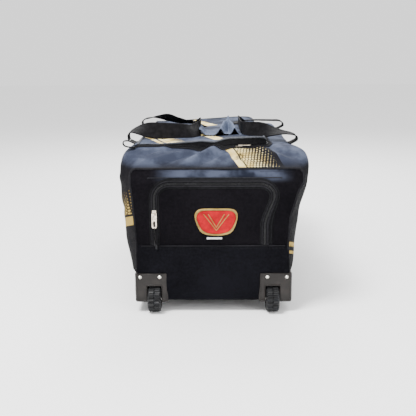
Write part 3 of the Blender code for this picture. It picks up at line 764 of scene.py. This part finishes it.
def end_edge(y, low=BASE_Z):
    """The sewn edge of an end panel, from low on the left over the top to the right."""
    heights = [low + (0.3876 - low) * (1 - (1 - k / 40) ** 2) for k in range(41)]
    end = HALF_LENGTH if y > 0 else -HALF_LENGTH
    left = [Vector((end_half(z, -1, end), y, z)) for z in heights]
    return left + [Vector((end_half(z, 1, end), y, z)) for z in heights[::-1]]


def on_top(points, lift):
    return [Vector((p.x, p.y, skin_top(p.x, p.y) + lift)) for p in points]


def on_lid(points, lift):
    return [Vector((p.x, p.y, lid_height(p.x, p.y) + lift)) for p in points]


def on_end(points, lift):
    return [Vector((p.x, end_face(p.x, p.z) - lift, p.z)) for p in points]


def make_piping(m):
    beads = (
        ("wheel_end", -HALF_LENGTH - 0.0008, HOUSING_TOP + 0.0005),
        ("far_end", HALF_LENGTH + 0.0008, BASE_Z + 0.004),
    )
    for word, y, low in beads:
        made = tube(f"{word}_bead", end_edge(y, low), 0.0029, m["pipe_dark"], "root", "piping")
        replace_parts(made, f"piping_{word}")
    line = [Vector((p.x * 0.972, end_face(p.x * 0.972, p.z) - 0.0003, min(p.z, 0.380)))
            for p in end_edge(0.0, SEAM_Z + 0.004)]
    stitches("wheel_end_stitches", line, OUT, m["pipe_dark"], "root", "piping")
    low = SEAM_Z - 0.0018
    seam = [Vector((x / 100, end_face(x / 100, low) - 0.0006, low)) for x in range(-19, 20)]
    tube("kick_seam_bead", seam, 0.0018, m["pipe_dark"], "root", "piping")
    for drop in (0.0062, 0.0095):
        row = [Vector((p.x, end_face(p.x, SEAM_Z - drop) - 0.0009, SEAM_Z - drop)) for p in seam]
        stitches(f"kick_stitches_{round(drop * 1e4)}", row, OUT, m["thread"], "root", "piping")


def strip(name, inner, outer, finish, body, slot, rows=3, thickness=0.0):
    """Cloth between two lines of points with the same count."""
    count = len(inner) - 1
    mesh = sheet_mesh(
        name, count, rows, lambda u, v: inner[round(u * count)].lerp(outer[round(u * count)], v)
    )
    made = add(name, mesh, finish, body, slot)
    if thickness:
        thicken(made, thickness, 0.0)
    return made


def matched(path, count):
    """The same line with a set number of points."""
    total = sum((b - a).length for a, b in zip(path, path[1:]))
    points = [p for p, _ in resample(path, total / count * 0.999999)]
    return (points + [path[-1]] * (count + 1))[: count + 1]


def make_lid(m):
    def top(u, v):
        y = -LID_END + 0.003 + 2 * (LID_END - 0.003) * v
        right = lid_reach(y, -0.003)
        x = LID_LEFT - 0.001 + (right - LID_LEFT + 0.001) * u
        return Vector((x, y, lid_height(x, y)))

    def under(u, v):
        return top(u, v) - Vector((0, 0, 0.0026))

    mesh = sheet_mesh("lid_cloth", 110, 180, top)
    cloth("lid_cloth", mesh, m["lid"], "lid", "top_fabric", "lid_panel", LID_CLOTH)
    mesh = sheet_mesh("lid_lining", 60, 90, under)
    cloth("lid_lining", mesh, m["lining"], "lid", "top_fabric", thickness=0.0008)

    count = 380
    edge = on_lid(matched(lid_path(-0.003), count), -0.0002)
    foot = on_top(matched(lid_path(-0.0004), count), 0.0012)
    wall = strip("lid_zip_wall", edge, foot, m["tape"], "lid", "zip_tape", 4, CLOTH)
    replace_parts(wall, "lid_zip_tape_moving")
    bead = [p + Vector((0, 0, 0.0012)) for p in edge]
    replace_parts(tube("lid_bead", bead, 0.0026, m["pipe_light"], "lid", "piping"), "lid_piping")
    inner = on_top(matched(lid_path(0.0006), count), 0.0013)
    outer = on_top(matched(lid_path(0.0130), count), 0.0008)
    tape = strip("lid_zip_tape", inner, outer, m["tape"], "root", "zip_tape", 4, TAPE_CLOTH)
    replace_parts(tape, "lid_zip_tape_fixed")
    welt = on_top(lid_path(0.0125), 0.0014)
    tube("lid_surround_bead", welt, 0.0018, m["pipe_dark"], "root", "piping")
    row = on_top(lid_path(0.0165), 0.0010)
    stitches("lid_surround_stitches", row, UP, m["thread"], "root", "piping")
    row = on_lid(lid_path(-0.0085), 0.0009)
    stitches("lid_stitches", row, UP, m["thread"], "lid", "piping")
    for word, shift, body in (("fixed", 0.0014, "root"), ("moving", -0.0014, "lid")):
        line = on_top(lid_path(shift), 0.0026)
        rows = [(p, d.cross(UP), UP) for p, d in resample(line, TOOTH_PITCH)]
        bricks(f"lid_teeth_{word}", rows, (TOOTH_PITCH, 0.0015, 0.0016), m["teeth"], body, "zip_tape")


def make_lid_hinge(m):
    """The fold of cloth that the lid turns on, with a bead on each side of it."""
    low_x, high_x = -0.2275, -0.2025

    def across(u, v):
        y = -LID_END + 2 * LID_END * v
        outer = on_left_edge(y)
        inner = Vector((high_x, y, lid_height(high_x, y) - 0.0012))
        p = outer.lerp(inner, u)
        p.z += 0.0025 * sin(pi * u)
        return p

    made = cloth("lid_fold", sheet_mesh("lid_fold", 10, 120, across), m["body"], None, "top_fabric")
    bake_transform(made)
    ys = [-LID_END + 0.002 + 2 * (LID_END - 0.002) * k / 120 for k in range(121)]
    line = [Vector((-0.2065, y, lid_height(-0.2065, y) + 0.0022)) for y in ys]
    tube("lid_fold_bead", line, 0.0022, m["pipe_light"], "lid", "piping")
    line = [on_left_edge(y) + Vector((0, 0, 0.0016)) for y in ys]
    tube("left_edge_bead", line, 0.0022, m["pipe_light"], "root", "piping")


def on_left_edge(y):
    """A point of the shell near the top of its left side."""
    near = min(ring_at(y), key=lambda p: abs(p.x + 0.2165) + (10 if p.z < 0.36 else 0))
    return near.copy()


def make_pocket(m):
    def front(u, v):
        z = POCKET_FOOT + (POCKET_TOP - 0.003 - POCKET_FOOT) * v
        x = POCKET_X + pocket_reach(z, -0.003) * (2 * u - 1)
        return Vector((x, end_face(x, z), z))

    mesh = sheet_mesh("pocket_cloth", 120, 64, front)
    cloth("pocket_cloth", mesh, m["end"], "pocket_flap", "side_fabric", "pocket_panel")
    count = 150
    for word, body, side in (("fixed", "root", 1), ("moving", "pocket_flap", -1)):
        near, mid, wide = side * 0.0005, side * 0.0062, side * 0.0135
        inner = on_end(matched(pocket_path(near), count), 0.0010)
        outer = on_end(matched(pocket_path(wide), count), 0.0006)
        tape = strip(f"pocket_tape_{word}", inner, outer, m["tape"], body, "zip_tape", 4, TAPE_CLOTH)
        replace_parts(tape, f"pocket_zip_tape_{word}")
        welt = on_end(matched(pocket_path(mid), count), 0.0012)
        tube(f"pocket_welt_{word}", welt, 0.0024, m["pipe_dark"], body, "piping")
        row = on_end(pocket_path(wide * 0.86), 0.0012)
        stitches(f"pocket_stitches_{word}", row, OUT, m["thread"], body, "piping")
        line = on_end(pocket_path(near * 2.8), 0.0020)
        teeth = [(p, d.cross(OUT), OUT) for p, d in resample(line, TOOTH_PITCH)]
        bricks(f"pocket_teeth_{word}", teeth, (TOOTH_PITCH, 0.0015, 0.0014), m["teeth"], body, "zip_tape")
    foot = [Vector((POCKET_X + (POCKET_HALF - 0.002) * (2 * k / 60 - 1), 0, 0)) for k in range(61)]
    low = [Vector((p.x, end_face(p.x, SEAM_Z + 0.0010), SEAM_Z + 0.0012)) for p in foot]
    high = [Vector((p.x, end_face(p.x, 0.1915) - 0.0004, 0.1915)) for p in foot]
    fold = strip("pocket_fold", low, high, m["end"], None, "side_fabric", 8, TAPE_CLOTH)
    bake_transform(fold)


def shield(grow):
    """Outline of the badge: a plain shield, wide at the top with a low round foot and soft corners."""
    top, foot, wide, narrow = 0.287 + grow, 0.213 - grow, 0.060 + grow, 0.045 + grow
    corners = [(narrow, foot + 0.012), (wide, top - 0.018), (wide - 0.010, top), (-wide + 0.010, top),
               (-wide, top - 0.018), (-narrow, foot + 0.012)]
    corners += [
        (-narrow * cos(a), foot + 0.012 - 0.012 * sin(a)) for a in (pi * k / 10 for k in range(1, 10))
    ]
    loop = [Vector((BADGE_X + u, 0.0, v)) for u, v in corners]
    loop.append(loop[0])
    count = BADGE_POINTS
    loop = matched(loop, count)[:count]
    for _ in range(14):
        loop = [(loop[k - 1] + loop[k] + loop[(k + 1) % count]) / 3 for k in range(count)]
    return loop


def make_badge(m):
    def patch(name, grow, lift, finish, slot, replaced):
        rim = shield(grow)
        middle = Vector((BADGE_X, 0.0, 0.252))

        def point(u, v):
            p = middle.lerp(rim[round(u * BADGE_POINTS) % BADGE_POINTS], v)
            return Vector((p.x, end_face(p.x, p.z) - lift - 0.0004 * (1 - v), p.z))

        mesh = sheet_mesh(name, BADGE_POINTS, 12, point, closed=True)
        cloth(name, mesh, finish, "pocket_flap", slot, replaced)

    patch("badge_ground", 0.0, 0.0012, m["gold"], "badge_gold", "badge_border")
    patch("badge_red_patch", -0.0055, 0.0022, m["red"], "badge_red", "badge_face")
    rim = on_end(shield(-0.0022), 0.0024)
    tube("badge_cord", rim, 0.0017, m["gold"], "pocket_flap", "badge_gold", cyclic=True)
    for k, (low, high) in enumerate(((0.228, 0.272), (0.236, 0.272))):
        half = 0.033 - k * 0.012
        line = [Vector((BADGE_X + half * (2 * j / 30 - 1), 0.0, low + (high - low) * abs(2 * j / 30 - 1)))
                for j in range(31)]
        line = on_end(line, 0.0030)
        tube(f"badge_chevron_{k}", line, 0.0012, m["gold"], "pocket_flap", "badge_gold")

    def tag(u, v):
        x, z = BADGE_X - 0.025 + 0.040 * u, 0.2035 + 0.0052 * v
        return Vector((x, end_face(x, z) - 0.0012, z))

    mesh = sheet_mesh("blank_label", 20, 4, tag)
    cloth("blank_label", mesh, m["label"], "pocket_flap", "label", "badge_label", 0.0008)


# ---------------------------------------------------------------- webbing
def curve_through(points, steps=8):
    """A smooth line through points, which may carry extra values."""
    rows = [points[0]] + list(points) + [points[-1]]
    out = []
    for k in range(1, len(rows) - 2):
        for j in range(steps):
            t = j / steps
            values = []
            for a, b, c, d in zip(rows[k - 1], rows[k], rows[k + 1], rows[k + 2]):
                values.append(0.5 * (2 * b + (c - a) * t + (2 * a - 5 * b + 4 * c - d) * t * t
                                     + (3 * b - a - 3 * c + d) * t ** 3))
            out.append(tuple(values))
    out.append(tuple(points[-1]))
    return out


def webbing(name, rows, finish, body, slot, width=STRAP, thickness=0.0022, sewn=None):
    """Flat strap through rows of (x, y, z, twist in degrees): 0 lies flat across Y, 90 stands on edge."""
    line = curve_through(rows)
    places = [Vector(r[:3]) for r in line]
    halves, faces = [], []
    for k, row in enumerate(line):
        run = (places[min(k + 1, len(line) - 1)] - places[max(k - 1, 0)]).normalized()
        level = Vector((0, 1, 0)) - run * run.y
        upright = UP - run * run.z
        twist = radians(row[3])
        level = level.normalized() if level.length > 0.05 else Vector((0, 0, 0))
        upright = upright.normalized() if upright.length > 0.05 else Vector((0, 0, 0))
        side = (level * cos(twist) + upright * sin(twist)).normalized()
        halves.append(side * width / 2)
        faces.append(run.cross(side).normalized())
    count = len(line) - 1

    def point(u, v):
        k = round(v * count)
        across = 2 * u - 1
        cup = 0.0012 * (1 - across * across) + noise.noise(places[k] * 24 + Vector((across, 0, 0))) * 0.0010
        return places[k] + halves[k] * across + faces[k] * cup

    made = add(name, sheet_mesh(name, 12, count, point), finish, body, slot)
    thicken(made, thickness, 0.0)
    if sewn:
        for word, shift in (("a", -0.86), ("b", 0.86)):
            for face, side in (("front", 1), ("back", -1)):
                edge = [p + h * shift + f * (side * (thickness / 2 + 0.0002) + 0.0003)
                        for p, h, f in zip(places, halves, faces)]
                spots = []
                for p, d in resample(edge, 0.0044):
                    k = min(range(len(places)), key=lambda j: (places[j] - p).length_squared)
                    spots.append((p, d, faces[k] * side))
                bricks(f"{name}_stitch_{word}_{face}", spots, (0.0029, 0.0007, 0.0006), sewn, body, slot)
    return made


def make_handles(m):
    left = (
        (-0.2440, -0.200, 0.4320, 0), (-0.2462, -0.200, 0.440, 0), (-0.2455, -0.200, 0.450, 0),
        (-0.2350, -0.200, 0.4595, 6), (-0.2120, -0.202, 0.4630, 30), (-0.1850, -0.205, 0.4620, 56),
        (-0.1550, -0.207, 0.4600, 66), (-0.1150, -0.204, 0.4570, 70), (-0.0800, -0.194, 0.4550, 62),
        (-0.0560, -0.172, 0.4530, 50), (-0.0440, -0.130, 0.4530, 66), (-0.0400, -0.060, 0.4520, 96),
        (-0.0400, 0.0, 0.4495, 128), (-0.0410, 0.070, 0.4475, 146), (-0.0450, 0.130, 0.4465, 154),
        (-0.0580, 0.172, 0.4470, 158), (-0.0860, 0.192, 0.4480, 162), (-0.1220, 0.198, 0.4530, 152),
        (-0.1560, 0.200, 0.4620, 146), (-0.1900, 0.200, 0.4640, 164), (-0.2150, 0.200, 0.4615, 178),
        (-0.2350, 0.200, 0.4575, 180), (-0.2455, 0.200, 0.450, 180), (-0.2462, 0.200, 0.440, 180),
        (-0.2440, 0.200, 0.4320, 180),
    )
    right = (
        (0.2440, -0.200, 0.4320, 0), (0.2452, -0.200, 0.438, 0), (0.2420, -0.200, 0.4450, 0),
        (0.2280, -0.200, 0.4500, 3), (0.2050, -0.200, 0.4540, 8), (0.1800, -0.201, 0.4570, 22),
        (0.1550, -0.203, 0.4600, 46), (0.1320, -0.205, 0.4610, 62), (0.1120, -0.202, 0.4610, 68),
        (0.0960, -0.188, 0.4600, 70), (0.0870, -0.158, 0.4570, 92), (0.0850, -0.080, 0.4535, 134),
        (0.0850, 0.0, 0.4510, 154), (0.0850, 0.080, 0.4500, 164), (0.0880, 0.150, 0.4500, 170),
        (0.0980, 0.184, 0.4505, 174), (0.1120, 0.199, 0.4510, 176), (0.1400, 0.202, 0.4520, 178),
        (0.1800, 0.201, 0.4520, 180), (0.2100, 0.200, 0.4515, 180), (0.2300, 0.200, 0.4505, 180),
        (0.2425, 0.200, 0.4450, 180), (0.2452, 0.200, 0.438, 180), (0.2440, 0.200, 0.4320, 180),
    )
    made = webbing("left_strap", left, m["webbing"], "carry_handle_left", "webbing", sewn=m["thread"])
    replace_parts(made, "carry_handle_left")
    made = webbing("right_strap", right, m["webbing"], "carry_handle_right", "webbing", sewn=m["thread"])
    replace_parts(made, "carry_handle_right")
    for side, word in ((-1, "left"), (1, "right")):
        for end, spot in ((-1, "near"), (1, "far")):
            y = end * STRAP_Y
            rows = [p for p in ring_at(y) if p.x * side > 0.20 and 0.285 < p.z < 0.424]
            rows.sort(key=lambda p: p.z)
            rows = rows[::4] + [rows[-1]]
            lifted = [(p.x + side * 0.0022, y, p.z + (0.001 if p.z > 0.40 else 0.0), 0) for p in rows]
            lifted.append((side * 0.2430, y, 0.4315, 0))
            made = webbing(
                f"{word}_strap_foot_{spot}", lifted, m["webbing"], "root", "webbing", sewn=m["thread"]
            )
            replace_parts(made, f"handle_anchor_{word}_{spot}")


def make_wrap(m):
    """The padded grip cloth, unfastened and crumpled into two peaks between the handles."""
    def point(u, v):
        x, y = -0.040 + 0.116 * u, -0.190 + 0.150 * v + 0.004 * sin(9 * u)
        first = 0.033 * exp(-((x - 0.031 - 0.03 * (v - 0.3)) / 0.0090) ** 2)
        second = 0.031 * exp(-((x - 0.058 + 0.02 * (v - 0.3)) / 0.0070) ** 2)
        start = 0.019 * smooth(0.18, 0.0, u)
        crumple = noise.noise(Vector((x * 60, y * 42, 2.0))) * 0.0042
        peak = (first + second) * (0.55 + 0.45 * sin(pi * min(max(v * 1.1, 0), 1)))
        return Vector((x, y, lid_height(x, y) + 0.0035 + peak + start + abs(crumple)))

    mesh = sheet_mesh("grip_wrap", 90, 70, point)
    made = add("grip_wrap", mesh, m["wrap"], "carry_handle_left", "top_fabric")
    thicken(made, 0.0016, 0.0)
    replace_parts(made, "handle_wrap")


def make_zip_loop(m):
    rows = [(-0.2105, 0.4330), (-0.2200, 0.4325), (-0.2320, 0.4335), (-0.2400, 0.4370), (-0.2430, 0.4430),
            (-0.2400, 0.4485), (-0.2300, 0.4500), (-0.2200, 0.4470), (-0.2105, 0.4420)]
    rows = [(x, -0.360 + 0.002 * k / 8, z, 0) for k, (x, z) in enumerate(rows)]
    made = webbing("zip_end_tab", rows, m["webbing"], "root", "webbing", width=0.020, thickness=0.0016)
    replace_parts(made, "zip_end_loop")


def make_pull_cord(m):
    x, y = POCKET_X - POCKET_HALF, -0.4660
    bar = [Vector((x + 0.0040, y + 0.001, 0.1885)), Vector((x + 0.0048, y + 0.001, 0.1765))]
    end = tube("pocket_pull_end", bar,
               0.0030, m["rubber"], "pocket_puller", "webbing")
    for k, side in enumerate((-1, 1)):
        rows = [(x + side * 0.0010, y - 0.0012, 0.2340), (x + side * 0.0024, y - 0.0016, 0.2280),
                (x + side * 0.0027 + 0.001, y - 0.001, 0.2150), (x + side * 0.0022 + 0.003, y, 0.1990),
                (x + 0.0045 + side * 0.0014, y + 0.001, 0.1880)]
        line = [Vector(p) for p in curve_through(rows, 6)]
        made = tube(f"pocket_pull_strand_{k}", line, 0.0013, m["webbing"], "pocket_puller", "webbing")
        if k == 0:
            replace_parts(made, "pocket_pull_cord")


def settled(p):
    """Slack cloth of the wheel end at rest: its top leans back and the pocket's right side sags in."""
    near = smooth(-0.350, -0.455, p.y)
    if near <= 0:
        return p
    back = 0.015 * smooth(0.345, 0.392, p.z)
    pull = smooth(0.05, 0.15, p.x) * smooth(0.195, 0.165, p.x)
    pull *= smooth(0.335, 0.235, p.z) * smooth(0.13, 0.185, p.z)
    top = 0.004 * smooth(0.05, 0.0, abs(p.x - 0.03)) * smooth(0.37, 0.39, p.z)
    return p + Vector((-0.027 * pull, back, -top)) * near


def settle_cloth():
    for obj in bpy.context.scene.objects:
        if obj.name in frame["nodes"] or obj.name.startswith(("housing_", "well_", "floor", "pocket_pull")):
            continue
        if obj.type == "MESH":
            for vertex in obj.data.vertices:
                vertex.co = settled(vertex.co)


# ---------------------------------------------------------------- hard parts
def make_housing_rims(m):
    """A raised lip round the face of each housing, and one round its wheel slot."""
    for side, word in ((-1, "left"), (1, "right")):
        low, high = sorted((side * (HOUSING_IN + 0.0050), side * (HOUSING_OUT - 0.0050)))
        bottom, top = HOUSING_LOW + 0.006, HOUSING_TOP - 0.0050
        slot_low, slot_high = side * WHEEL_X - WELL_HALF - 0.002, side * WHEEL_X + WELL_HALF + 0.002
        y = HOUSING_FRONT - 0.0003
        path = [
            (slot_low, bottom), (low, bottom), (low, top), (high, top), (high, bottom), (slot_high, bottom)
        ]
        lip = [Vector((x, y, z)) for x, z in path]
        tube(f"housing_lip_{word}", lip, 0.0014, m["housing"], "root", "housing")
        arch = [(slot_low, bottom), (slot_low, WELL_TOP)]
        arch += [(slot_low + 0.004 - 0.004 * cos(a), WELL_TOP + 0.003 * sin(a)) for a in (0.5, 1.0, 1.57)]
        arch += [(slot_high - 0.004 + 0.004 * cos(a), WELL_TOP + 0.003 * sin(a)) for a in (1.57, 1.0, 0.5)]
        arch += [(slot_high, WELL_TOP), (slot_high, bottom)]
        lip = [Vector((x, y, z)) for x, z in arch]
        tube(f"well_lip_{word}", lip, 0.0014, m["housing"], "root", "housing")


CAD_FINISH = {
    "base_board": "board", "pocket_lining": "lining", "wheel_housing": "housing", "rivet_": "rivet",
    "axle_": "steel", "hub_": "hub", "tyre_": "rubber", "skid_foot": "foot", "pull_handle_grip": "rubber",
    "pull_handle": "webbing", "pocket_slider": "metal", "pocket_puller": "metal", "lid_near": "metal",
    "lid_side": "metal",
}


def finish_cad_nodes(m):
    for name, node in frame["nodes"].items():
        for start, word in CAD_FINISH.items():
            if name.startswith(start):
                for index in range(max(len(node.material_slots), 1)):
                    if node.material_slots:
                        node.material_slots[index].material = m[word]
                    else:
                        node.data.materials.append(m[word])
                break


# ---------------------------------------------------------------- stage
def make_camera():
    data = bpy.data.cameras.new("camera")
    data.lens, data.sensor_width, data.sensor_fit = 57.8, 36.0, "HORIZONTAL"
    made = bpy.data.objects.new("camera", data)
    made.location = (-0.001, -HALF_LENGTH - 1.695, 0.672)
    made.rotation_euler = Euler((radians(90 - 12.83), radians(0.28), radians(0.36)), "XYZ")
    bpy.context.scene.collection.objects.link(made)
    bpy.context.scene.camera = made


def light(name, place_at, aim, size, power, colour=(1, 1, 1)):
    data = bpy.data.lights.new(name, "AREA")
    data.size, data.energy, data.color = size, power, colour
    made = bpy.data.objects.new(name, data)
    made.location = place_at
    made.rotation_euler = (Vector(aim) - Vector(place_at)).to_track_quat("-Z", "Y").to_euler()
    bpy.context.scene.collection.objects.link(made)


def make_stage():
    bm = bmesh.new()
    bmesh.ops.create_grid(bm, x_segments=2, y_segments=2, size=14.0)
    floor = bpy.data.objects.new("floor", mesh_from(bm, "floor"))
    bpy.context.scene.collection.objects.link(floor)
    paper = Finish("paper_white", 0.9)
    paper.colour((0.95, 0.95, 0.95))
    floor.data.materials.append(paper.material)
    world = bpy.data.worlds.new("studio")
    world.use_nodes = True
    world.node_tree.nodes["Background"].inputs[0].default_value = (1.0, 1.0, 1.0, 1.0)
    world.node_tree.nodes["Background"].inputs[1].default_value = 1.45
    bpy.context.scene.world = world
    light("key", (-0.9, -1.2, 2.8), (0.0, -0.2, 0.3), 0.9, 170)
    light("fill", (1.6, -2.0, 1.2), (0.0, -0.3, 0.25), 1.0, 22)
    light("back", (0.2, 2.0, 2.4), (0.0, 0.0, 0.35), 1.4, 90)


make_camera()
make_stage()
M = make_materials()
finish_cad_nodes(M)
make_shell(M)
make_end_panels(M)
make_piping(M)
make_lid(M)
make_lid_hinge(M)
make_pocket(M)
make_badge(M)
make_handles(M)
make_wrap(M)
make_zip_loop(M)
make_pull_cord(M)
make_housing_rims(M)
settle_cloth()
